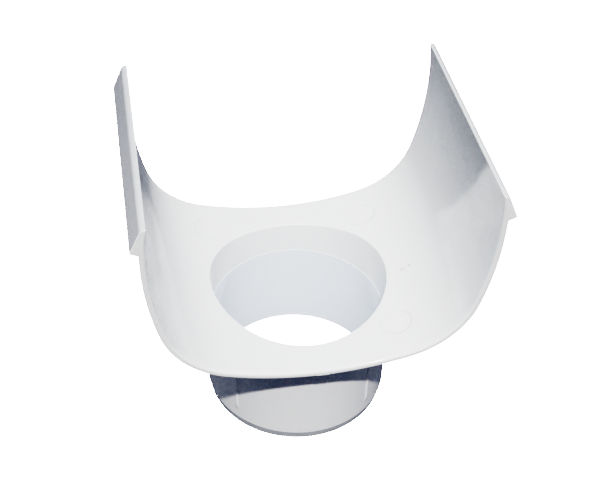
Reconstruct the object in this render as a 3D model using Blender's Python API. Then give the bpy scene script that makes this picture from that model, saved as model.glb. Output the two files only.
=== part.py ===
"""Gutter running outlet in white PVC: a U-shaped saddle with snap lips and the round spigot under it.

Metres, +Z up. The origin is the centre of the spigot's lower end, and the gutter runs along Y.
The saddle's throat ends in a thin nipple, which sits in the socket at the top of the spigot.
"""

import math

import bmesh
import bpy

MM = 0.001

# Saddle. The inside of the trough is three arcs on each side of the middle: (radius, sweep).
FLOOR_HEIGHT = 56.75 * MM
SADDLE_LENGTH = 105 * MM
WALL = 2.6 * MM
TROUGH_ARCS = (
    (133.3 * MM, math.radians(15.8)),
    (33.7 * MM, math.radians(58.3)),
    (137.9 * MM, math.radians(22.4)),
)
TROUGH_STEPS = 30

# Snap lip along each top edge: a wedge that leans out from the ridge to a sharp tip.
RIDGE_WIDTH = 2.1 * MM
RIDGE_RADIUS = 0.7 * MM
LIP_REACH = 6.7 * MM
LIP_DROP = 10.6 * MM
LIP_TIP_RADIUS = 0.35 * MM
LIP_ROOT_TURN = math.radians(91.5)
ROUNDING_STEPS = 3

# Throat below the trough. Heights are above the spigot's lower end.
THROAT_RADIUS = 37.6 * MM
BOSS_RADIUS = 42 * MM
BOSS_BOTTOM = 50 * MM
NIPPLE_RADIUS = 39 * MM
NIPPLE_BOTTOM = 41.9 * MM

# Spigot: a sleeve with a socket at the top for the nipple and a lead-in at the lower end.
JOINT_GAP = 0.3 * MM
SPIGOT_RADIUS = 40 * MM
LEAD_IN_RADIUS = 39.1 * MM
LEAD_IN_HEIGHT = 3.75 * MM
BORE_RADIUS_LOW = 36.1 * MM
BORE_RADIUS_HIGH = 37.1 * MM
SOCKET_FLARE_BOTTOM = 41.5 * MM
SOCKET_FLARE_TOP = 44.5 * MM
SOCKET_CHAMFER = 0.5 * MM

# Ribs on the spigot, which centre it in the pipe below.
RIB_COUNT = 4
RIB_WIDTH = 1.0 * MM
RIB_PROUD = 0.6 * MM
RIB_EMBED = 0.4 * MM
RIB_BOTTOM = 8.5 * MM
RIB_FULL_HEIGHT = 12.5 * MM
RIB_TOP = 43.2 * MM
FIRST_RIB_ANGLE = math.radians(-49.5)

TURNED_SEGMENTS = 96
SHARP_ANGLE = math.radians(30)


def clear_scene():
    for item in list(bpy.data.objects):
        bpy.data.objects.remove(item, do_unlink=True)


def plastic(name, colour, roughness):
    material = bpy.data.materials.new(name)
    material.use_nodes = True
    shader = material.node_tree.nodes["Principled BSDF"]
    shader.inputs["Base Color"].default_value = (*colour, 1)
    shader.inputs["Roughness"].default_value = roughness
    shader.inputs["Metallic"].default_value = 0
    return material


def add_object(name, mesh, parent, height=0.0, angle=0.0):
    thing = bpy.data.objects.new(name, mesh)
    bpy.context.scene.collection.objects.link(thing)
    thing.parent = parent
    thing.location.z = height
    thing.rotation_euler.z = angle
    return thing


def make_helper(thing):
    """Marks an object that only cuts or joins another."""
    thing.hide_render = True
    thing.display_type = "WIRE"
    return thing


def mesh_from(bm, name):
    bmesh.ops.recalc_face_normals(bm, faces=bm.faces)
    mesh = bpy.data.meshes.new(name)
    bm.to_mesh(mesh)
    bm.free()
    return mesh


def prism(name, outline, length):
    """Closed outline of (x, z) drawn out along Y, centred on the origin."""
    bm = bmesh.new()
    face = bm.faces.new([bm.verts.new((x, -length / 2, z)) for x, z in outline])
    drawn = bmesh.ops.extrude_face_region(bm, geom=[face])["geom"]
    moved = [item for item in drawn if isinstance(item, bmesh.types.BMVert)]
    bmesh.ops.translate(bm, verts=moved, vec=(0, length, 0))
    return mesh_from(bm, name)


def turned(name, outline):
    """Closed outline of (radius, z) turned about Z. It stays clear of the axis."""
    bm = bmesh.new()
    angles = [2 * math.pi * i / TURNED_SEGMENTS for i in range(TURNED_SEGMENTS)]
    rings = [
        [bm.verts.new((r * math.cos(a), r * math.sin(a), z)) for a in angles] for r, z in outline
    ]
    for upper, lower in zip(rings, rings[1:] + rings[:1]):
        for i in range(TURNED_SEGMENTS):
            j = (i + 1) % TURNED_SEGMENTS
            bm.faces.new((upper[i], lower[i], lower[j], upper[j]))
    return mesh_from(bm, name)


def cylinder(name, radius, bottom, top):
    bm = bmesh.new()
    made = bmesh.ops.create_cone(
        bm,
        cap_ends=True,
        segments=TURNED_SEGMENTS,
        radius1=radius,
        radius2=radius,
        depth=top - bottom,
    )
    bmesh.ops.translate(bm, verts=made["verts"], vec=(0, 0, (bottom + top) / 2))
    return mesh_from(bm, name)


def boolean(target, operation, other):
    modifier = target.modifiers.new(f"{operation.lower()} {other.name}", "BOOLEAN")
    modifier.operation = operation
    modifier.object = other


def finish(thing, material):
    thing.data.materials.append(material)
    thing.data.shade_smooth()
    thing.data.set_sharp_from_angle(angle=SHARP_ANGLE)


def trough_point(turn, outward):
    """Point (x, z) where the trough's side has turned by this angle, moved outward from its face."""
    x = z = start = 0.0
    for radius, sweep in TROUGH_ARCS:
        end = min(turn, start + sweep)
        x += radius * (math.sin(end) - math.sin(start))
        z += radius * (math.cos(start) - math.cos(end))
        start = end
    return x + outward * math.sin(turn), z - outward * math.cos(turn)


def trough_side(outward, last_turn):
    """Right side of the trough's section, from the middle of the floor up."""
    return [
        trough_point(last_turn * step / TROUGH_STEPS, outward) for step in range(TROUGH_STEPS + 1)
    ]


def rounded(before, corner, after, radius):
    """Points that round a corner of an outline with an arc."""
    arrive = math.atan2(corner[1] - before[1], corner[0] - before[0])
    leave = math.atan2(after[1] - corner[1], after[0] - corner[0])
    turn = math.remainder(leave - arrive, 2 * math.pi)
    setback = radius * math.tan(abs(turn) / 2)
    side = math.copysign(1, turn)
    x = corner[0] - setback * math.cos(arrive) - side * radius * math.sin(arrive)
    z = corner[1] - setback * math.sin(arrive) + side * radius * math.cos(arrive)
    points = []
    for step in range(ROUNDING_STEPS + 1):
        heading = arrive + turn * step / ROUNDING_STEPS
        points.append(
            (x + side * radius * math.sin(heading), z - side * radius * math.cos(heading))
        )
    return points


def saddle_section():
    """Closed outline of the saddle's wall and its two lips."""
    full_turn = sum(sweep for _, sweep in TROUGH_ARCS)
    outside = trough_side(WALL, LIP_ROOT_TURN)
    inside = trough_side(0, full_turn)[::-1]
    ridge_x, ridge_z = inside[0]
    tip = (ridge_x + LIP_REACH, ridge_z - LIP_DROP)
    ridge_outer = (ridge_x + RIDGE_WIDTH, ridge_z)
    half = outside
    half += rounded(outside[-1], tip, ridge_outer, LIP_TIP_RADIUS)
    half += rounded(tip, ridge_outer, inside[0], RIDGE_RADIUS)
    half += rounded(ridge_outer, inside[0], inside[1], RIDGE_RADIUS)
    half += inside[1:]
    return half + [(-x, z) for x, z in half[-2:0:-1]]


def wall_middle_outline():
    """Closed outline of the space above the middle of the saddle's wall."""
    side = trough_side(WALL / 2, math.radians(90))
    return side + [(-x, z) for x, z in side[:0:-1]]


def make_saddle(parent, material):
    """Saddle: the trough's section drawn out, a boss under it and the throat cut through both."""
    section = prism("saddle", saddle_section(), SADDLE_LENGTH)
    saddle = add_object("saddle", section, parent, FLOOR_HEIGHT)
    boss_top = 2 * BOSS_RADIUS
    boss_core = THROAT_RADIUS - WALL
    boss_outline = [
        (BOSS_RADIUS, boss_top),
        (BOSS_RADIUS, BOSS_BOTTOM),
        (NIPPLE_RADIUS, BOSS_BOTTOM),
        (NIPPLE_RADIUS, NIPPLE_BOTTOM),
        (boss_core, NIPPLE_BOTTOM),
        (boss_core, boss_top),
    ]
    boss = make_helper(add_object("throat_boss", turned("throat_boss", boss_outline), parent))
    above = prism("above_wall_middle", wall_middle_outline(), 2 * SADDLE_LENGTH)
    boolean(boss, "DIFFERENCE", make_helper(add_object(above.name, above, parent, FLOOR_HEIGHT)))
    throat = cylinder("throat_cutter", THROAT_RADIUS, NIPPLE_BOTTOM / 2, boss_top)
    boolean(saddle, "UNION", boss)
    boolean(saddle, "DIFFERENCE", make_helper(add_object(throat.name, throat, parent)))
    finish(saddle, material)
    return saddle


def make_spigot(parent, material):
    """Spigot: a turned sleeve with four centring ribs joined to it."""
    socket_radius = NIPPLE_RADIUS + JOINT_GAP
    socket_floor = NIPPLE_BOTTOM - JOINT_GAP
    socket_top = BOSS_BOTTOM - JOINT_GAP
    outline = [
        (BOSS_RADIUS - SOCKET_CHAMFER, socket_top),
        (BOSS_RADIUS, socket_top - SOCKET_CHAMFER),
        (BOSS_RADIUS, SOCKET_FLARE_TOP),
        (SPIGOT_RADIUS, SOCKET_FLARE_BOTTOM),
        (SPIGOT_RADIUS, LEAD_IN_HEIGHT),
        (LEAD_IN_RADIUS, 0),
        (BORE_RADIUS_LOW, 0),
        (BORE_RADIUS_HIGH, socket_floor),
        (socket_radius, socket_floor),
        (socket_radius, socket_top - SOCKET_CHAMFER),
        (socket_radius + SOCKET_CHAMFER, socket_top),
    ]
    spigot = add_object("spigot", turned("spigot", outline), parent)
    rib_foot = SPIGOT_RADIUS - RIB_EMBED
    rib_face = SPIGOT_RADIUS + RIB_PROUD
    rib_outline = [
        (rib_foot, RIB_BOTTOM),
        (rib_face, RIB_FULL_HEIGHT),
        (rib_face, RIB_TOP),
        (rib_foot, RIB_TOP),
    ]
    rib_mesh = prism("rib", rib_outline, RIB_WIDTH)
    for index in range(RIB_COUNT):
        angle = FIRST_RIB_ANGLE + index * 2 * math.pi / RIB_COUNT
        rib = make_helper(add_object(f"rib_{index + 1}", rib_mesh, parent, angle=angle))
        boolean(spigot, "UNION", rib)
    finish(spigot, material)
    return spigot


def main():
    clear_scene()
    outlet = bpy.data.objects.new("outlet", None)
    bpy.context.scene.collection.objects.link(outlet)
    make_saddle(outlet, plastic("saddle_pvc", (0.84, 0.84, 0.83), 0.4))
    make_spigot(outlet, plastic("spigot_pvc", (0.84, 0.84, 0.84), 0.4))


main()
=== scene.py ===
"""Looks of the gutter outlet: fine surfaces for the saddle and the spigot, white PVC, and the stage.

Each visible piece is one closed mesh with rounded edges, worked out from the same arcs as its CAD
solid. The stage is the floor, the lights and the camera.
"""

import math

import bmesh
import bpy
from mathutils import Euler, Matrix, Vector
from mathutils.geometry import delaunay_2d_cdt


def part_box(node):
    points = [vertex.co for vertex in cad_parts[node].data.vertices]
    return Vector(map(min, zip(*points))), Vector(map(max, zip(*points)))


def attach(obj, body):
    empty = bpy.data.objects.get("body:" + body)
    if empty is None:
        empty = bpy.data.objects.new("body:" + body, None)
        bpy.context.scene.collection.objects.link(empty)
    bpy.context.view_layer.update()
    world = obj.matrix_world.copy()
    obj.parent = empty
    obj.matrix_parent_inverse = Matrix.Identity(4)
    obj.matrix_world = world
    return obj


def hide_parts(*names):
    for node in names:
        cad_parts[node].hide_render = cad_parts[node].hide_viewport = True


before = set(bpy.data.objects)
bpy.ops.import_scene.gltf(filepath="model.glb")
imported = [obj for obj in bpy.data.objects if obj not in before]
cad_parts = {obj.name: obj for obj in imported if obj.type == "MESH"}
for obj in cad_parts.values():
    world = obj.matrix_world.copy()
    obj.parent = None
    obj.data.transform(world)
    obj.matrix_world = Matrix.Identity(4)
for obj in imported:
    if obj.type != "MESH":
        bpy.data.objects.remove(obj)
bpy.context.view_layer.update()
SADDLE_LOW, SADDLE_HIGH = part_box("saddle")
SPIGOT_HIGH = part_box("spigot")[1]

MM = 0.001
# Points closer together than this are the same point.
WELD = 0.002 * MM
FULL_TURN = 2 * math.pi

# Trough. Its inside is three arcs on each side of the middle: (radius, sweep, steps).
TROUGH_ARCS = (
    (133.3 * MM, math.radians(15.8), 18),
    (33.7 * MM, math.radians(58.3), 24),
    (137.9 * MM, math.radians(22.4), 28),
)
WALL = 2.6 * MM
HALF_LENGTH = SADDLE_HIGH.y
LENGTH_STEPS = 40
# Spacing of the floor's points, and how clear they keep of other points, as a share of it.
FLOOR_GRID = 2.2 * MM
GRID_CLEARANCE = 0.6

# Rounding of the end faces' edges, and how far below the ridge the inner edge starts to sharpen.
INNER_EDGE_RADIUS = 1.2 * MM
RIDGE_EDGE_RADIUS = 0.4 * MM
LIP_EDGE_RADIUS = 0.5 * MM
OUTER_EDGE_RADIUS = 0.6 * MM
RIDGE_EDGE_FADE = 8 * MM
END_STEPS = 5

# Trimmed gate on the near end's lower edge: (x, radius of that edge). It leaves a flat land,
# a nick and a burr.
GATE = (
    (-1.7 * MM, OUTER_EDGE_RADIUS),
    (-1.4 * MM, 0.25 * MM),
    (3.8 * MM, 0.25 * MM),
    (4.15 * MM, 1.0 * MM),
    (4.5 * MM, 1.0 * MM),
    (4.8 * MM, 0.15 * MM),
    (5.2 * MM, 0.15 * MM),
    (5.5 * MM, OUTER_EDGE_RADIUS),
)
# Samples of each half of the section that belong to the floor: the first arc, part of the second
# and the gate.
FLOOR_SAMPLES = 28 + len(GATE)

# Snap lips.
RIDGE_WIDTH = 2.1 * MM
RIDGE_INNER_RADIUS = 0.45 * MM
RIDGE_OUTER_RADIUS = 2.3 * MM
LIP_REACH = 6.7 * MM
LIP_DROP = 10.6 * MM
LIP_TIP_RADIUS = 0.6 * MM
LIP_ROOT_TURN = math.radians(91.5)
LIP_ROOT_CLEARANCE = math.radians(0.4)
LIP_ROOT_RADIUS = 0.4 * MM
ROUNDING_STEPS = 5

# Throat, boss and nipple under the floor. The nipple ends just above the spigot's ledge.
THROAT_RADIUS = 37.6 * MM
RIM_RADIUS = 0.5 * MM
NIPPLE_RADIUS = 39.2 * MM
LEDGE = SADDLE_LOW.z - 0.3 * MM
NIPPLE_END = LEDGE + 0.05 * MM
BOSS_RADIUS = SPIGOT_HIGH.x
BOSS_FACE = SPIGOT_HIGH.z + 0.2 * MM
BOSS_FILLET = 1.6 * MM
SMALL_RADIUS = 0.25 * MM
NIPPLE_EDGE_RADIUS = SMALL_RADIUS / 3
THROAT_SEGMENTS = 192

# Ejector-pin marks on the floor: a shallow disc with a raised rim. PIN_RINGS are the rings of
# vertices, as distances from the rim's middle.
PIN_OFFSET = 34.5 * MM
PIN_RADIUS = 6.3 * MM
PIN_DEPTH = 0.08 * MM
PIN_RIM = 0.1 * MM
PIN_RIM_HALF_WIDTH = 0.45 * MM
# Painted shade on each pin mark's rim.
PIN_SHADE = 0.45
PIN_RINGS = tuple(ring * MM for ring in (-1.1, -0.48, -0.32, -0.16, 0.0, 0.16, 0.32, 0.48, 1.1))
PIN_SEGMENTS = 56
# Each pin pressed harder on one side: (side of x, side of y) to (strength, direction of that side).
PIN_UNEVENNESS = 0.4
PIN_PRESS = {
    (1, 1): (0.8, math.radians(-30)),
    (-1, 1): (0.7, math.radians(150)),
    (1, -1): (1.0, math.radians(-50)),
    (-1, -1): (0.3, math.radians(60)),
}

# Two short scratches on the floor, as (x, y) of each end.
SCRATCHES = (
    ((42.0 * MM, -8.1 * MM), (44.9 * MM, -5.8 * MM)),
    ((45.6 * MM, -6.3 * MM), (47.0 * MM, -7.7 * MM)),
)
SCRATCH_HALF_WIDTH = 0.4 * MM
SCRATCH_DEPTH = 0.25 * MM
SCRATCH_STEPS = 12

# Name of the mesh attribute that says how much painted shade the floor's marks get at each vertex.
MARK_SHADE = "mark_shade"

# Spigot.
SPIGOT_RADIUS = 40 * MM
LEAD_IN_RADIUS = 39.1 * MM
LEAD_IN_HEIGHT = 4.4 * MM
LEAD_IN_EDGE_RADIUS = 0.4 * MM
BORE_RADIUS_LOW = 36.1 * MM
BORE_RADIUS_HIGH = 37.4 * MM
BORE_EDGE_RADIUS = 0.5 * MM
LEDGE_EDGE_RADIUS = 0.12 * MM
SOCKET_RADIUS = NIPPLE_RADIUS + 0.1 * MM
SOCKET_EDGE_RADIUS = 0.05 * MM
FLARE_BOTTOM = 41.5 * MM
FLARE_TOP = 44.5 * MM
FLARE_RADIUS = 1.5 * MM
RIB_COUNT = 4
FIRST_RIB_ANGLE = math.radians(-49.5)
RIB_PROUD = 0.6 * MM
RIB_HALF_WIDTH = 0.7 * MM
RIB_SLOPE = 0.3 * MM
RIB_REACH = 1.2 * MM
RIB_BOTTOM = 8.5 * MM
RIB_FULL_HEIGHT = 12.5 * MM
RIB_STEPS = 6
# Extra vertices over a rib, as distances from its middle.
RIB_SAMPLES = tuple(
    sample * MM for sample in (-0.9, -0.65, -0.5, -0.35, -0.2, 0.0, 0.2, 0.35, 0.5, 0.65, 0.9)
)
SPIGOT_SEGMENTS = 192

# White PVC. Lengths are in metres, and a scale is in cycles or cells a metre. A range of two numbers
# goes from none to all, and one of four also says how much it starts and ends with.
SADDLE_WARM, SADDLE_COOL = (0.90, 0.897, 0.885), (0.885, 0.89, 0.89)
SPIGOT_WARM, SPIGOT_COOL = (0.89, 0.887, 0.878), (0.88, 0.88, 0.877)
CLOUD_SCALE = 28.0
CLOUD_DETAIL = 3.0
CLOUD_RANGE = (0.35, 0.65)
REFRACTION = 1.53
SCATTER_SHARE = 0.3
SCATTER_DEPTH = 0.8 * MM
SCATTER_REACH = (1.0, 0.9, 0.75)

# Dust grains on the inside of the walls, most on the left one, with painted shade that greys the upper
# walls. It keeps off the outside and the ends.
DUST_SHADE_COLOUR = (0.66, 0.67, 0.69)
DUST_SHADE_SHARE = 0.75
DUST_ROUGHNESS = 0.1
DUST_SHADE_HEIGHTS = (85 * MM, 115 * MM, 0.0, 0.7)
DUST_SHADE_SIDE = (-20 * MM, -50 * MM)
DUST_SHADE_SIDE_HEIGHTS = (62 * MM, 95 * MM, 0.15, 1.0)
DUST_SHADE_INSIDE = (0.15, 0.0)
DUST_SHADE_OFF_ENDS = (0.8, 0.3)
HAZE_SCALE = 40.0
HAZE_RANGE = (0.36, 0.6, 0.45, 1.0)
GRAIN_SCALE = 1300.0
GRAIN_RANGE = (0.62, 0.5)
GRAIN_WEIGHT = 1.2

# Dark specks and hairline scratches: (turn, scale) of each set of hairlines.
SPECK_COLOUR = (0.30, 0.29, 0.27)
SPECK_SHARE = 0.6
SPECK_CELLS = 105.0
SPECK_RARITY = 0.8
SPECK_RANGE = (0.034, 0.014)
SPECK_ROUGHNESS = 0.3
SPECK_WEIGHT = 0.5
HAIRLINES = (
    ((0, 0, math.radians(35)), (2400.0, 45.0, 300.0)),
    ((0, 0, math.radians(-62)), (2100.0, 60.0, 300.0)),
)
HAIRLINE_RANGE = (0.735, 0.76)
HAIRLINE_ROUGHNESS = 0.06
HAIRLINE_WEIGHT = -0.25

# Gloss and relief. A weight is a share of BUMP_HEIGHT.
GLOSS_SCALE = 85.0
GLOSS_DETAIL = 3.0
GLOSS_DISTORTION = 1.5
GLOSS_RANGE = (0.3, 0.75, 0.035, 0.07)
BUMP_HEIGHT = 0.012 * MM
WAVE_SCALE = 42.0
SADDLE_WAVES = 18.0
SPIGOT_WAVES = 4.0
PEEL_SCALE = 330.0
PEEL_WEIGHT = 0.6
FLOW_SCALE = (260.0, 14.0, 260.0)
FLOW_WEIGHT = 0.9
DRAW_TURN_SCALE = 30.0
DRAW_HEIGHT_SCALE = 12.0
DRAW_WEIGHT = 1.3

# Painted shade on the faces that point away from the trough and on the ridge, more towards the far
# end, painted light on the end faces, and painted shade in the floor's marks.
PAINTED_SHADE_COLOUR = (0.50, 0.51, 0.53)
SHADE_OUTSIDE = (0.0, 0.5)
SHADE_FADE = (-70 * MM, 60 * MM, 0.6, 1.0)
SHADE_PATCH_SCALE = 160.0
SHADE_PATCH_DETAIL = 4.0
SHADE_PATCH_DISTORTION = 0.6
SHADE_PATCHES = (0.3, 0.7, 0.9, 1.0)
RIDGE_FACING = (-0.35, 0.15)
RIDGE_HEIGHTS = (85 * MM, 95 * MM)
# Painted light on the end faces.
END_LIGHT_COLOUR = (0.955, 0.95, 0.925)
END_LIGHT_FACING = (0.4, 0.95)
# Painted shade in the pin rims and the scratches.
MARK_SHADE_COLOUR = (0.30, 0.30, 0.31)

# Painted blue light tint in the spigot's bore, and painted shade in patches on its lead-in.
BORE_LIGHT_TINT = (0.81, 0.85, 0.90)
LEAD_IN_SHADE_EDGE = 0.2 * MM
LEAD_IN_SHADE_SCALE = 220.0
LEAD_IN_SHADE_DETAIL = 3.0
LEAD_IN_SHADE_RANGE = (0.3, 0.7, 0.75, 0.95)

# Camera: where it stands, how it is turned and its focal length.
CAMERA_PLACE = Vector((-0.0700, -0.3533, 0.3958))
CAMERA_YAW = math.radians(11.236)
CAMERA_PITCH = math.radians(41.178)
CAMERA_ROLL = math.radians(1.937)
CAMERA_LENS_MM = 68.97

# Key light: where it comes from, counted from straight in front.
KEY_AZIMUTH = math.radians(-8)
KEY_ELEVATION = math.radians(57)
KEY_WIDTH = math.radians(1.5)
KEY_STRENGTH = 3.95
KEY_COLOUR = (1.0, 0.995, 0.985)

# Soft fills from behind and below, which keep the far sides white: (name, direction they come
# from, strength).
FILLS = (
    ("fill_left", (-0.35, 0.5, -0.79), 0.75),
    ("fill_right", (0.35, 0.5, -0.79), 1.5),
    ("fill_back", (0, 0.75, -0.66), 1.6),
)
FILL_WIDTH = math.radians(40)
FILL_COLOUR = (0.96, 0.98, 1.0)

# Studio round the object: (height of the direction, from -1 straight down to 1 straight up, colour).
STUDIO_BANDS = (
    (-1.0, (0.025, 0.04, 0.08)),
    (0.0, (0.015, 0.022, 0.05)),
    (0.63, (0.05, 0.06, 0.085)),
    (0.67, (0.6, 0.63, 0.67)),
    (1.0, (1.15, 1.22, 1.32)),
)

# Pale floor, bright enough to show as white.
FLOOR_HALF_SIZE = 6.0
FLOOR_COLOUR = (0.05, 0.05, 0.05)
FLOOR_GLOW = 30


# ---------------------------------------------------------------- outlines


def trough_turns():
    """Turn of the trough's side at each sample, from the middle of the floor to the ridge."""
    turns = [0.0]
    for _, sweep, steps in TROUGH_ARCS:
        start = turns[-1]
        turns += [start + sweep * (step + 1) / steps for step in range(steps)]
    turns += [math.asin(abs(x) / (TROUGH_ARCS[0][0] + WALL)) for x, _ in GATE]
    return sorted(turns)


def trough_arc_point(turn, outward):
    """Point (x, height above the floor) where the side has turned by this angle, moved outward."""
    x = z = start = 0.0
    for radius, sweep, _ in TROUGH_ARCS:
        end = min(turn, start + sweep)
        x += radius * (math.sin(end) - math.sin(start))
        z += radius * (math.cos(start) - math.cos(end))
        start = end
    return x + outward * math.sin(turn), z - outward * math.cos(turn)


TURNS = trough_turns()
FLOOR = SADDLE_HIGH.z - trough_arc_point(TURNS[-1], 0)[1]
FLOOR_TURNS = TURNS[: FLOOR_SAMPLES + 1]


def trough_point(turn, outward):
    x, z = trough_arc_point(turn, outward)
    return x, z + FLOOR


def turn_over(x, outward):
    """Turn of the trough's face where it passes over x, on the floor and the lower bends."""
    start_x = start = 0.0
    for radius, sweep, _ in TROUGH_ARCS:
        sine = (abs(x) - start_x + radius * math.sin(start)) / (radius + outward)
        if sine <= math.sin(start + sweep):
            return math.asin(sine)
        start_x += radius * (math.sin(start + sweep) - math.sin(start))
        start += sweep
    raise ValueError("x lies outside the trough")


def height_over(x, outward):
    return trough_point(turn_over(x, outward), outward)[1]


def rounded(before, corner, after, radius, steps=ROUNDING_STEPS):
    """Points (x, z, normal x, normal z) that round a corner. The material is on the right."""
    arrive = math.atan2(corner[1] - before[1], corner[0] - before[0])
    leave = math.atan2(after[1] - corner[1], after[0] - corner[0])
    turn = math.remainder(leave - arrive, FULL_TURN)
    setback = radius * math.tan(abs(turn) / 2)
    side = math.copysign(1, turn)
    x = corner[0] - setback * math.cos(arrive) - side * radius * math.sin(arrive)
    z = corner[1] - setback * math.sin(arrive) + side * radius * math.cos(arrive)
    points = []
    for step in range(steps + 1):
        heading = arrive + turn * step / steps
        sine, cosine = math.sin(heading), math.cos(heading)
        points.append((x + side * radius * sine, z - side * radius * cosine, -sine, cosine))
    return points


def section_half():
    """Right half of the section, with normals: up the inside, over the lip, down the outside."""
    inside = [(*trough_point(turn, 0), -math.sin(turn), math.cos(turn)) for turn in TURNS[:-1]]
    outside = [
        (*trough_point(turn, WALL), math.sin(turn), -math.cos(turn))
        for turn in TURNS[::-1]
        if turn < LIP_ROOT_TURN - LIP_ROOT_CLEARANCE
    ]
    ridge = trough_point(TURNS[-1], 0)
    ridge_outer = (ridge[0] + RIDGE_WIDTH, ridge[1])
    tip = (ridge[0] + LIP_REACH, ridge[1] - LIP_DROP)
    root = trough_point(LIP_ROOT_TURN, WALL)
    lip = rounded(inside[-1], ridge, ridge_outer, RIDGE_INNER_RADIUS)
    lip += rounded(ridge, ridge_outer, tip, RIDGE_OUTER_RADIUS)
    lip += rounded(ridge_outer, tip, root, LIP_TIP_RADIUS)
    lip += rounded(tip, root, outside[0], LIP_ROOT_RADIUS)
    return inside, lip, outside


def smooth(value):
    value = min(max(value, 0.0), 1.0)
    return value * value * (3 - 2 * value)


# ---------------------------------------------------------------- meshes


def rows_to_faces(bm, rows, closed=False):
    """Joins rows of points of equal length with quads, and gives back the rows of vertices."""
    made = [[bm.verts.new(point) for point in row] for row in rows]
    for first, second in zip(made, made[1:]):
        count = len(first)
        for i in range(count if closed else count - 1):
            j = (i + 1) % count
            bm.faces.new((first[i], first[j], second[j], second[i]))
    return made


def finish_object(name, bm, replaced, material):
    bmesh.ops.remove_doubles(bm, verts=bm.verts, dist=WELD)
    bmesh.ops.recalc_face_normals(bm, faces=bm.faces)
    mesh = bpy.data.meshes.new(name)
    bm.to_mesh(mesh)
    bm.free()
    mesh.shade_smooth()
    mesh.materials.append(material)
    thing = bpy.data.objects.new(name, mesh)
    bpy.context.scene.collection.objects.link(thing)
    normals = thing.modifiers.new("face weighted normals", "WEIGHTED_NORMAL")
    normals.mode = "FACE_AREA_WITH_ANGLE"
    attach(thing, "root")
    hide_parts(replaced)


def pin_mark(x, y):
    """Height that the nearest ejector-pin mark adds to the floor, and the painted shade on its rim."""
    side = (1 if x > 0 else -1, 1 if y > 0 else -1)
    across, along = x - side[0] * PIN_OFFSET, y - side[1] * PIN_OFFSET
    inward = PIN_RADIUS - math.hypot(across, along)
    strength, hard_side = PIN_PRESS[side]
    away = math.atan2(along, across) - hard_side
    press = strength * (1 - PIN_UNEVENNESS + PIN_UNEVENNESS * math.cos(away))
    rim = press * (1 - smooth(abs(inward) / PIN_RIM_HALF_WIDTH))
    disc = press * smooth(inward / PIN_RIM_HALF_WIDTH + 0.5)
    return PIN_RIM * rim - PIN_DEPTH * disc, PIN_SHADE * rim


def scratch_outline(start, end):
    """Thin pointed loop (x, y) round a scratch, and the points along its middle."""
    run = Vector(end) - Vector(start)
    side = Vector((-run.y, run.x)).normalized() * SCRATCH_HALF_WIDTH
    shares = [step / SCRATCH_STEPS for step in range(SCRATCH_STEPS + 1)]
    left = [Vector(start) + run * share + side * math.sin(math.pi * share) for share in shares]
    right = [Vector(start) + run * share - side * math.sin(math.pi * share) for share in shares]
    middle = [Vector(start) + run * share for share in shares[1:-1]]
    return left + right[-2:0:-1], middle


def scratch_mark(x, y):
    """How deep a scratch is here, from 0 to 1."""
    depth = 0.0
    for start, end in SCRATCHES:
        run = Vector(end) - Vector(start)
        away = Vector((x, y)) - Vector(start)
        share = away.dot(run) / run.length_squared
        if 0 < share < 1:
            reach = SCRATCH_HALF_WIDTH * math.sin(math.pi * share)
            across = abs(away.cross(run)) / run.length
            depth = max(depth, math.sin(math.pi * share) * (1 - smooth(across / reach)))
    return depth


def floor_border(outward, lines):
    """Rectangle round a stretch of floor, as points (x, y) that the walls and ends also use."""
    side = [trough_point(turn, outward)[0] for turn in FLOOR_TURNS]
    across = [-x for x in side[:0:-1]] + side
    low, high = lines[0], lines[-1]
    border = [(x, low) for x in across]
    border += [(across[-1], y) for y in lines[1:]]
    border += [(x, high) for x in across[-2::-1]]
    border += [(across[0], y) for y in lines[-2:0:-1]]
    return border


def circle(x, y, radius, segments):
    """Points (x, y) round a circle."""
    angles = [FULL_TURN * i / segments for i in range(segments)]
    return [(x + radius * math.cos(angle), y + radius * math.sin(angle)) for angle in angles]


def floor_patch(bm, outward, hole, lines, marked):
    """Triangulated floor between the side walls, round the throat.

    The throat's rim is convex and nothing lies in it, so the faces in the hole are those with
    every corner on the rim.
    """
    loops = [floor_border(outward, lines), hole]
    outlines = []
    if marked:
        loops += [
            circle(sx * PIN_OFFSET, sy * PIN_OFFSET, PIN_RADIUS + ring, PIN_SEGMENTS)
            for sx in (-1, 1)
            for sy in (-1, 1)
            for ring in PIN_RINGS
        ]
        outlines = [scratch_outline(*ends) for ends in SCRATCHES]
    loops += [loop for loop, _ in outlines]
    points, edges = [], []
    for loop in loops:
        first = len(points)
        points += loop
        edges += [(first + i, first + (i + 1) % len(loop)) for i in range(len(loop))]
    points += grid_between(loops)
    points += [point for _, middle in outlines for point in middle]
    flat = [Vector(point) for point in points]
    places, _, faces, sources, _, _ = delaunay_2d_cdt(flat, edges, [], 0, WELD)
    mark_shade = bm.verts.layers.float[MARK_SHADE]
    verts = []
    for x, y in places:
        raised = shaded = 0.0
        if marked:
            raised, shaded = pin_mark(x, y)
            scratched = scratch_mark(x, y)
            raised -= SCRATCH_DEPTH * scratched
            # Painted shade in the scratches, as on the pin rims.
            shaded = max(shaded, scratched)
        vert = bm.verts.new((x, y, height_over(x, outward) + raised))
        vert[mark_shade] = shaded
        verts.append(vert)
    rim = range(len(loops[0]), len(loops[0]) + len(hole))
    on_rim = [any(i in rim for i in source) for source in sources]
    for face in faces:
        if not all(on_rim[i] for i in face):
            bm.faces.new([verts[i] for i in face])


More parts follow.
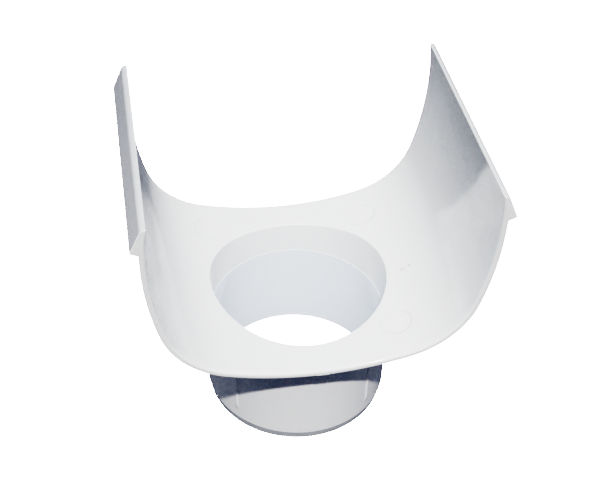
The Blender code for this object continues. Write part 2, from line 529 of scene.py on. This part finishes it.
def grid_between(loops):
    """Points of a triangular grid inside the first loop, clear of the loops and of the hole."""
    half_x = max(x for x, _ in loops[0])
    half_y = max(y for _, y in loops[0])
    hole = max(math.hypot(*point) for point in loops[1])
    taken = {}
    cell = FLOOR_GRID
    for loop in loops:
        for x, y in loop:
            taken.setdefault((round(x / cell), round(y / cell)), []).append((x, y))
    points = []
    row_height = cell * math.sqrt(3) / 2
    for row in range(-int(half_y / row_height), int(half_y / row_height) + 1):
        for column in range(-int(half_x / cell), int(half_x / cell) + 1):
            x = (column + (row % 2) / 2) * cell
            y = row * row_height
            if abs(x) > half_x - cell / 2 or abs(y) > half_y - cell / 2:
                continue
            if math.hypot(x, y) < hole + cell / 2:
                continue
            keys = [
                (round(x / cell) + i, round(y / cell) + j) for i in (-1, 0, 1) for j in (-1, 0, 1)
            ]
            near = [point for key in keys for point in taken.get(key, [])]
            if all(math.hypot(x - px, y - py) > GRID_CLEARANCE * cell for px, py in near):
                points.append((x, y))
    return points


def throat_profile(angle):
    """Profile (radius, z) of the throat, nipple and boss at this angle, from rim to fillet."""
    across = abs(math.cos(angle))
    rim_height = height_over(THROAT_RADIUS * across, 0)
    rim_slope = math.tan(turn_over(THROAT_RADIUS * across, 0)) * across
    under_height = height_over(BOSS_RADIUS * across, WALL)
    under_slope = math.tan(turn_over(BOSS_RADIUS * across, WALL)) * across
    rim = (THROAT_RADIUS, rim_height)
    nipple_inner = (THROAT_RADIUS, NIPPLE_END)
    nipple_outer = (NIPPLE_RADIUS, NIPPLE_END)
    face_inner = (NIPPLE_RADIUS, BOSS_FACE)
    face_outer = (BOSS_RADIUS, BOSS_FACE)
    under = (BOSS_RADIUS, under_height)
    beyond_rim = (rim[0] + MM, rim[1] + MM * rim_slope)
    beyond_under = (under[0] + MM, under[1] + MM * under_slope)
    points = rounded(beyond_rim, rim, nipple_inner, RIM_RADIUS)
    points[0] = (points[0][0], height_over(points[0][0] * across, 0))
    points += rounded(rim, nipple_inner, nipple_outer, NIPPLE_EDGE_RADIUS)
    points += rounded(nipple_inner, nipple_outer, face_inner, NIPPLE_EDGE_RADIUS)
    points.append(face_inner)
    points += rounded(face_inner, face_outer, under, SMALL_RADIUS)
    points += rounded(face_outer, under, beyond_under, BOSS_FILLET)
    last = points[-1]
    points[-1] = (last[0], height_over(last[0] * across, WALL))
    return [point[:2] for point in points]


def make_saddle(material):
    """Saddle: side walls with their lips, two floors, both ends, and the throat between the floors."""
    bm = bmesh.new()
    bm.verts.layers.float.new(MARK_SHADE)
    inside, lip, outside = section_half()
    half = inside + lip + outside
    flat_half = HALF_LENGTH - INNER_EDGE_RADIUS
    lines = [flat_half * (2 * step / LENGTH_STEPS - 1) for step in range(LENGTH_STEPS + 1)]
    wall = half[FLOOR_SAMPLES : len(half) - FLOOR_SAMPLES]
    for side in (-1, 1):
        rows_to_faces(bm, [[(side * x, y, z) for x, z, _, _ in wall] for y in lines])
    inner = [inner_edge_radius(z) for _, z, _, _ in inside]
    near_ridge = len(lip) // 2
    over_lip = [RIDGE_EDGE_RADIUS] * near_ridge + [LIP_EDGE_RADIUS] * (len(lip) - near_ridge)
    for end in (-1, 1):
        right, left = [
            inner + over_lip + [outer_edge_radius(side * x, end) for x, _, _, _ in outside]
            for side in (1, -1)
        ]
        rows = [end_row(half, right, left, end, step, flat_half) for step in range(-1, END_STEPS + 1)]
        last = rows_to_faces(bm, rows, closed=True)[-1]
        close_end(bm, last, len(inside), len(lip), len(outside))
    angles = [FULL_TURN * i / THROAT_SEGMENTS for i in range(THROAT_SEGMENTS)]
    profiles = [throat_profile(angle) for angle in angles]
    rings = [
        [(r * math.cos(a), r * math.sin(a), z) for a, (r, z) in zip(angles, ring)]
        for ring in zip(*profiles)
    ]
    rows_to_faces(bm, rings, closed=True)
    floor_patch(bm, 0, [point[:2] for point in rings[0]], lines, marked=True)
    floor_patch(bm, WALL, [point[:2] for point in rings[-1]], lines, marked=False)
    finish_object("saddle_body", bm, "saddle", material)


def end_row(half, right, left, end, step, flat_half):
    """Closed row of points round the section, one step round the edge of an end face.

    Step -1 is the last line of the walls, and step 0 is where the rounding starts.
    """
    angle = math.pi / 2 * max(step, 0) / END_STEPS
    row = []
    for side, radii in ((1, right), (-1, left)):
        moved = []
        for (x, z, nx, nz), radius in zip(half, radii):
            inset = radius * (1 - math.cos(angle))
            advance = HALF_LENGTH - radius * (1 - math.sin(angle)) if step >= 0 else flat_half
            moved.append((side * (x - inset * nx), end * advance, z - inset * nz))
        row += moved if side == 1 else moved[-2:0:-1]
    return row


def inner_edge_radius(height):
    """Radius of the inner edge of an end face, which is smaller near the ridge."""
    below = smooth((SADDLE_HIGH.z - height) / RIDGE_EDGE_FADE)
    return RIDGE_EDGE_RADIUS + (INNER_EDGE_RADIUS - RIDGE_EDGE_RADIUS) * below


def outer_edge_radius(x, end):
    """Radius of the outer edge of an end face, which changes at the trimmed gate on the near end."""
    if end > 0 or not GATE[0][0] < x < GATE[-1][0]:
        return OUTER_EDGE_RADIUS
    for (low, first), (high, second) in zip(GATE, GATE[1:]):
        if x <= high:
            return first + (second - first) * (x - low) / (high - low)
    return OUTER_EDGE_RADIUS


def close_end(bm, loop, inside_count, lip_count, outside_count):
    """Fills an end face: a strip between inside and outside, and one face over each lip."""
    total = len(loop)
    half_count = inside_count + lip_count + outside_count
    for mirrored in (False, True):

        def vert(index):
            return loop[-index % total] if mirrored else loop[index]

        for i in range(outside_count - 1):
            outer = half_count - 1 - i
            bm.faces.new((vert(i), vert(i + 1), vert(outer - 1), vert(outer)))
        top = range(outside_count - 1, inside_count + lip_count + 1)
        bm.faces.new([vert(i) for i in top])


def make_spigot(material):
    """Spigot: a turned sleeve whose outside also swells into the four ribs."""
    bm = bmesh.new()
    top = SPIGOT_HIGH.z
    corners = (
        (BOSS_RADIUS, top, SMALL_RADIUS),
        (BOSS_RADIUS, FLARE_TOP, FLARE_RADIUS),
        (SPIGOT_RADIUS, FLARE_BOTTOM, FLARE_RADIUS),
        (SPIGOT_RADIUS, LEAD_IN_HEIGHT, LEAD_IN_EDGE_RADIUS),
        (LEAD_IN_RADIUS, 0, SMALL_RADIUS),
        (BORE_RADIUS_LOW, 0, BORE_EDGE_RADIUS),
        (BORE_RADIUS_HIGH, LEDGE, LEDGE_EDGE_RADIUS),
        (SOCKET_RADIUS, LEDGE, SOCKET_EDGE_RADIUS),
        (SOCKET_RADIUS, top, SMALL_RADIUS),
    )
    fade = RIB_FULL_HEIGHT - RIB_BOTTOM
    outline = []
    for index, (r, z, radius) in enumerate(corners):
        before = corners[index - 1][:2]
        after = corners[(index + 1) % len(corners)][:2]
        outline += [point[:2] for point in rounded(before, (r, z), after, radius)]
        if (r, z) == (SPIGOT_RADIUS, FLARE_BOTTOM):
            parts = range(RIB_STEPS * 3 // 2, -1, -1)
            outline += [(SPIGOT_RADIUS, RIB_BOTTOM + fade * part / RIB_STEPS) for part in parts]
    rib_angles = [FIRST_RIB_ANGLE + i * FULL_TURN / RIB_COUNT for i in range(RIB_COUNT)]
    even = [FULL_TURN * i / SPIGOT_SEGMENTS for i in range(SPIGOT_SEGMENTS)]
    angles = [angle for angle in even if rib_distance(angle, rib_angles) > RIB_REACH]
    angles += [
        (rib + sample / SPIGOT_RADIUS) % FULL_TURN for rib in rib_angles for sample in RIB_SAMPLES
    ]
    angles.sort()
    rows = []
    for r, z in outline:
        row = []
        for angle in angles:
            bump = smooth((RIB_HALF_WIDTH - rib_distance(angle, rib_angles)) / RIB_SLOPE)
            rib = RIB_PROUD * bump * smooth((z - RIB_BOTTOM) / fade)
            swollen = max(r, SPIGOT_RADIUS + rib) if rib > 0 and r >= SPIGOT_RADIUS else r
            row.append((swollen * math.cos(angle), swollen * math.sin(angle), z))
        rows.append(row)
    rows.append(rows[0])
    rows_to_faces(bm, rows, closed=True)
    finish_object("spigot_body", bm, "spigot", material)


def rib_distance(angle, rib_angles):
    """Distance round the spigot to the nearest rib's middle."""
    return SPIGOT_RADIUS * min(abs(math.remainder(angle - rib, FULL_TURN)) for rib in rib_angles)


# ---------------------------------------------------------------- materials


class Nodes:
    """Short calls for the shader nodes of one material. A socket given as an input is linked."""

    def __init__(self, material):
        material.use_nodes = True
        self.tree = material.node_tree
        self.shader = self.tree.nodes["Principled BSDF"]
        coordinates = self.tree.nodes.new("ShaderNodeTexCoord")
        self.place = coordinates.outputs["Object"]
        self.normal = coordinates.outputs["Normal"]

    def add(self, kind, inputs, **settings):
        node = self.tree.nodes.new(kind)
        for name, value in settings.items():
            setattr(node, name, value)
        for socket, value in inputs.items():
            self.put(value, node.inputs[socket])
        return node

    def put(self, value, socket):
        if isinstance(value, bpy.types.NodeSocket):
            self.tree.links.new(value, socket)
        else:
            socket.default_value = value

    def noise(self, scale, detail=2.0, distortion=0.0, place=None):
        inputs = {"Vector": place or self.place, "Scale": scale}
        inputs.update({"Detail": detail, "Distortion": distortion})
        return self.add("ShaderNodeTexNoise", inputs).outputs["Fac"]

    def stretched(self, turn, scale):
        inputs = {"Vector": self.place, "Rotation": turn, "Scale": scale}
        return self.add("ShaderNodeMapping", inputs, vector_type="POINT").outputs["Vector"]

    def ramp(self, value, low, high, start=0.0, end=1.0):
        """Smooth step between two values, from start to end."""
        inputs = {"Value": value, "From Min": low, "From Max": high, "To Min": start, "To Max": end}
        node = self.add("ShaderNodeMapRange", inputs, interpolation_type="SMOOTHSTEP")
        return node.outputs["Result"]

    def math(self, operation, first, second):
        return self.add("ShaderNodeMath", {0: first, 1: second}, operation=operation).outputs[0]

    def mix(self, factor, first, second):
        first, second = [(*one, 1) if isinstance(one, tuple) else one for one in (first, second)]
        inputs = {0: factor, 6: first, 7: second}
        return self.add("ShaderNodeMix", inputs, data_type="RGBA").outputs[2]

    def split(self, vector):
        return self.add("ShaderNodeSeparateXYZ", {0: vector}).outputs

    def outward(self):
        """How far the surface faces away from the middle plane, from -1 to 1."""
        side = self.math("SIGN", self.split(self.place)[0], 0.0)
        return self.math("MULTIPLY", side, self.split(self.normal)[0])

    def endward(self):
        """How far the surface faces along the trough, from 0 to 1."""
        return self.math("ABSOLUTE", self.split(self.normal)[1], 0.0)


def pvc(name, warm, cool, extra_height, wave_weight, painted_light):
    """Glossy white PVC: clouds, dust with painted shade, dark specks, hairline scratches, orange peel,
    waviness, and the part's painted light and shade.
    """
    material = bpy.data.materials.new(name)
    nodes = Nodes(material)
    colour = nodes.mix(nodes.ramp(nodes.noise(CLOUD_SCALE, CLOUD_DETAIL), *CLOUD_RANGE), warm, cool)
    dust_shade = dust_and_shade(nodes)
    # Dust grains, with painted shade that greys the upper walls.
    colour = nodes.mix(nodes.math("MULTIPLY", dust_shade, DUST_SHADE_SHARE), colour, DUST_SHADE_COLOUR)
    cells = nodes.add("ShaderNodeTexVoronoi", {"Vector": nodes.place, "Scale": SPECK_CELLS})
    chosen = nodes.math("GREATER_THAN", nodes.split(cells.outputs["Color"])[0], SPECK_RARITY)
    specks = nodes.math("MULTIPLY", chosen, nodes.ramp(cells.outputs["Distance"], *SPECK_RANGE))
    colour = nodes.mix(nodes.math("MULTIPLY", specks, SPECK_SHARE), colour, SPECK_COLOUR)
    hairlines = 0.0
    for turn, scale in HAIRLINES:
        streaks = nodes.noise(1.0, 1.0, place=nodes.stretched(turn, scale))
        hairlines = nodes.math("MAXIMUM", hairlines, nodes.ramp(streaks, *HAIRLINE_RANGE))
    # The part's painted light and shade go into the base colour.
    nodes.put(painted_light(nodes, colour), nodes.shader.inputs["Base Color"])
    rough = nodes.ramp(nodes.noise(GLOSS_SCALE, GLOSS_DETAIL, GLOSS_DISTORTION), *GLOSS_RANGE)
    duller = ((dust_shade, DUST_ROUGHNESS), (specks, SPECK_ROUGHNESS), (hairlines, HAIRLINE_ROUGHNESS))
    for mark, share in duller:
        rough = nodes.math("ADD", rough, nodes.math("MULTIPLY", mark, share))
    nodes.put(rough, nodes.shader.inputs["Roughness"])
    height = extra_height(nodes)
    reliefs = (
        (nodes.noise(WAVE_SCALE, 1.0), wave_weight),
        (nodes.noise(PEEL_SCALE, 1.0), PEEL_WEIGHT),
        (dust_shade, GRAIN_WEIGHT),
        (specks, SPECK_WEIGHT),
        (hairlines, HAIRLINE_WEIGHT),
    )
    for relief, weight in reliefs:
        height = nodes.math("ADD", height, nodes.math("MULTIPLY", relief, weight))
    inputs = {"Strength": 1.0, "Distance": BUMP_HEIGHT, "Height": height}
    bump = nodes.add("ShaderNodeBump", inputs)
    nodes.put(bump.outputs["Normal"], nodes.shader.inputs["Normal"])
    nodes.put(REFRACTION, nodes.shader.inputs["IOR"])
    nodes.put(SCATTER_SHARE, nodes.shader.inputs["Subsurface Weight"])
    nodes.put(SCATTER_REACH, nodes.shader.inputs["Subsurface Radius"])
    nodes.put(SCATTER_DEPTH, nodes.shader.inputs["Subsurface Scale"])
    return material


def dust_and_shade(nodes):
    """Grains of dust with painted shade, from 0 to 1, high on both walls and lower down on the left
    one.
    """
    x, _, z = nodes.split(nodes.place)
    side = nodes.ramp(x, *DUST_SHADE_SIDE)
    side = nodes.math("MULTIPLY", side, nodes.ramp(z, *DUST_SHADE_SIDE_HEIGHTS))
    dust_shade_share = nodes.math("MAXIMUM", nodes.ramp(z, *DUST_SHADE_HEIGHTS), side)
    haze = nodes.ramp(nodes.noise(HAZE_SCALE), *HAZE_RANGE)
    grains = nodes.ramp(nodes.noise(GRAIN_SCALE, 1.0), *GRAIN_RANGE)
    inside = nodes.ramp(nodes.outward(), *DUST_SHADE_INSIDE)
    off_ends = nodes.ramp(nodes.endward(), *DUST_SHADE_OFF_ENDS)
    for share in (inside, off_ends, haze, grains):
        dust_shade_share = nodes.math("MULTIPLY", dust_shade_share, share)
    return dust_shade_share


def flow_lines(nodes):
    """Faint flow lines that run along the trough, away from the gate."""
    place = nodes.stretched((0, 0, 0), FLOW_SCALE)
    return nodes.math("MULTIPLY", nodes.noise(1.0, 2.0, place=place), FLOW_WEIGHT)


def draw_lines(nodes):
    """Faint upright lines round the sleeve, left by the mould's core and cavity."""
    x, y, z = nodes.split(nodes.place)
    round_way = nodes.math("MULTIPLY", nodes.math("ARCTAN2", y, x), DRAW_TURN_SCALE)
    up_way = nodes.math("MULTIPLY", z, DRAW_HEIGHT_SCALE)
    place = nodes.add("ShaderNodeCombineXYZ", {0: round_way, 1: up_way}).outputs[0]
    return nodes.math("MULTIPLY", nodes.noise(1.0, 3.0, place=place), DRAW_WEIGHT)


def saddle_painted_light(nodes, colour):
    """Painted shade on the outward faces and the ridge, more towards the far end, painted light on the
    end faces, and painted shade in the floor's marks.
    """
    _, y, z = nodes.split(nodes.place)
    # Painted shade: grey on the outward faces and the ridge, more towards the far end.
    ridge = nodes.ramp(nodes.outward(), *RIDGE_FACING)
    ridge = nodes.math("MULTIPLY", ridge, nodes.ramp(z, *RIDGE_HEIGHTS))
    away = nodes.math("MAXIMUM", nodes.ramp(nodes.outward(), *SHADE_OUTSIDE), ridge)
    shade_share = nodes.math("MULTIPLY", away, nodes.ramp(y, *SHADE_FADE))
    patches = nodes.noise(SHADE_PATCH_SCALE, SHADE_PATCH_DETAIL, SHADE_PATCH_DISTORTION)
    patchy_shade = nodes.math("MULTIPLY", shade_share, nodes.ramp(patches, *SHADE_PATCHES))
    shaded_colour = nodes.mix(patchy_shade, colour, PAINTED_SHADE_COLOUR)
    # Painted light: the end faces are a brighter cream.
    colour = nodes.mix(nodes.ramp(nodes.endward(), *END_LIGHT_FACING), shaded_colour, END_LIGHT_COLOUR)
    # Painted shade in the floor's marks.
    mark_shade = nodes.add("ShaderNodeAttribute", {}, attribute_name=MARK_SHADE)
    return nodes.mix(mark_shade.outputs["Fac"], colour, MARK_SHADE_COLOUR)


def spigot_painted_light(nodes, colour):
    """Painted shade in patches on the lead-in, where the sleeve slides into its pipe, and a painted
    blue light tint in the bore.
    """
    flat = nodes.stretched((0, 0, 0), (1, 1, 0))
    radius = nodes.add("ShaderNodeVectorMath", {0: flat}, operation="LENGTH").outputs["Value"]
    outer = nodes.ramp(radius, BORE_RADIUS_HIGH, NIPPLE_RADIUS)
    z = nodes.split(nodes.place)[2]
    low = nodes.ramp(z, LEAD_IN_HEIGHT + LEAD_IN_SHADE_EDGE, LEAD_IN_HEIGHT - LEAD_IN_SHADE_EDGE)
    shade_patches = nodes.ramp(nodes.noise(LEAD_IN_SHADE_SCALE, LEAD_IN_SHADE_DETAIL), *LEAD_IN_SHADE_RANGE)
    shade_share = nodes.math("MULTIPLY", nodes.math("MULTIPLY", low, outer), shade_patches)
    # Painted blue light tint in the bore, and painted shade on the lead-in.
    return nodes.mix(shade_share, nodes.mix(outer, BORE_LIGHT_TINT, colour), PAINTED_SHADE_COLOUR)


# ---------------------------------------------------------------- stage


def add_floor():
    """White floor that lights nothing and lets the soft fills through from below."""
    mesh = bpy.data.meshes.new("floor")
    size = FLOOR_HALF_SIZE
    corners = [(-size, -size, 0), (size, -size, 0), (size, size, 0), (-size, size, 0)]
    mesh.from_pydata(corners, [], [(0, 1, 2, 3)])
    floor = bpy.data.objects.new("floor", mesh)
    bpy.context.scene.collection.objects.link(floor)
    material = bpy.data.materials.new("studio_floor")
    material.use_nodes = True
    shader = material.node_tree.nodes["Principled BSDF"]
    shader.inputs["Base Color"].default_value = (*FLOOR_COLOUR, 1)
    shader.inputs["Roughness"].default_value = 1
    shader.inputs["Specular IOR Level"].default_value = 0
    shader.inputs["Emission Color"].default_value = (1, 1, 1, 1)
    shader.inputs["Emission Strength"].default_value = FLOOR_GLOW
    material.cycles.emission_sampling = "NONE"
    mesh.materials.append(material)
    floor.visible_diffuse = False
    floor.visible_glossy = False
    floor.visible_shadow = False


def add_camera():
    data = bpy.data.cameras.new("camera")
    data.lens = CAMERA_LENS_MM
    data.clip_start = 0.01
    camera = bpy.data.objects.new("camera", data)
    bpy.context.scene.collection.objects.link(camera)
    camera.location = CAMERA_PLACE
    turned = Euler((0, 0, -CAMERA_YAW)).to_matrix()
    tilted = Euler((math.pi / 2 - CAMERA_PITCH, 0, 0)).to_matrix()
    rolled = Euler((0, 0, CAMERA_ROLL)).to_matrix()
    camera.rotation_euler = (turned @ tilted @ rolled).to_euler()
    bpy.context.scene.camera = camera


def add_sun(name, towards, strength, width, colour):
    """Sun whose light comes from this direction."""
    data = bpy.data.lights.new(name, "SUN")
    data.energy = strength
    data.angle = width
    data.color = colour
    sun = bpy.data.objects.new(name, data)
    bpy.context.scene.collection.objects.link(sun)
    sun.rotation_euler = Vector(towards).to_track_quat("Z", "Y").to_euler()
    return sun


def add_lights():
    """Key light, soft fills from behind and below, and a studio bright overhead and dim elsewhere."""
    flat = math.cos(KEY_ELEVATION)
    sideways, ahead = math.sin(KEY_AZIMUTH) * flat, math.cos(KEY_AZIMUTH) * flat
    key_from = (sideways, -ahead, math.sin(KEY_ELEVATION))
    add_sun("key", key_from, KEY_STRENGTH, KEY_WIDTH, KEY_COLOUR)
    for name, fill_from, strength in FILLS:
        fill = add_sun(name, fill_from, strength, FILL_WIDTH, FILL_COLOUR)
        fill.visible_glossy = False
    world = bpy.data.worlds.new("studio")
    bpy.context.scene.world = world
    world.use_nodes = True
    nodes, links = world.node_tree.nodes, world.node_tree.links
    background = nodes["Background"]
    coordinate = nodes.new("ShaderNodeTexCoord")
    split = nodes.new("ShaderNodeSeparateXYZ")
    lift = nodes.new("ShaderNodeMapRange")
    bands = nodes.new("ShaderNodeValToRGB")
    lift.inputs["From Min"].default_value = -1
    links.new(coordinate.outputs["Generated"], split.inputs[0])
    links.new(split.outputs["Z"], lift.inputs["Value"])
    links.new(lift.outputs["Result"], bands.inputs[0])
    links.new(bands.outputs[0], background.inputs["Color"])
    ramp = bands.color_ramp
    ramp.elements.remove(ramp.elements[1])
    ramp.elements[0].position = 0
    ramp.elements[0].color = (*STUDIO_BANDS[0][1], 1)
    for height, colour in STUDIO_BANDS[1:]:
        ramp.elements.new((1 + height) / 2).color = (*colour, 1)


SADDLE_LOOK = (SADDLE_WARM, SADDLE_COOL, flow_lines, SADDLE_WAVES, saddle_painted_light)
SPIGOT_LOOK = (SPIGOT_WARM, SPIGOT_COOL, draw_lines, SPIGOT_WAVES, spigot_painted_light)
make_saddle(pvc("white_pvc_saddle", *SADDLE_LOOK))
make_spigot(pvc("white_pvc_spigot", *SPIGOT_LOOK))
add_floor()
add_camera()
add_lights()
bpy.context.scene.view_settings.view_transform = "Filmic"
bpy.context.scene.view_settings.look = "Very High Contrast"
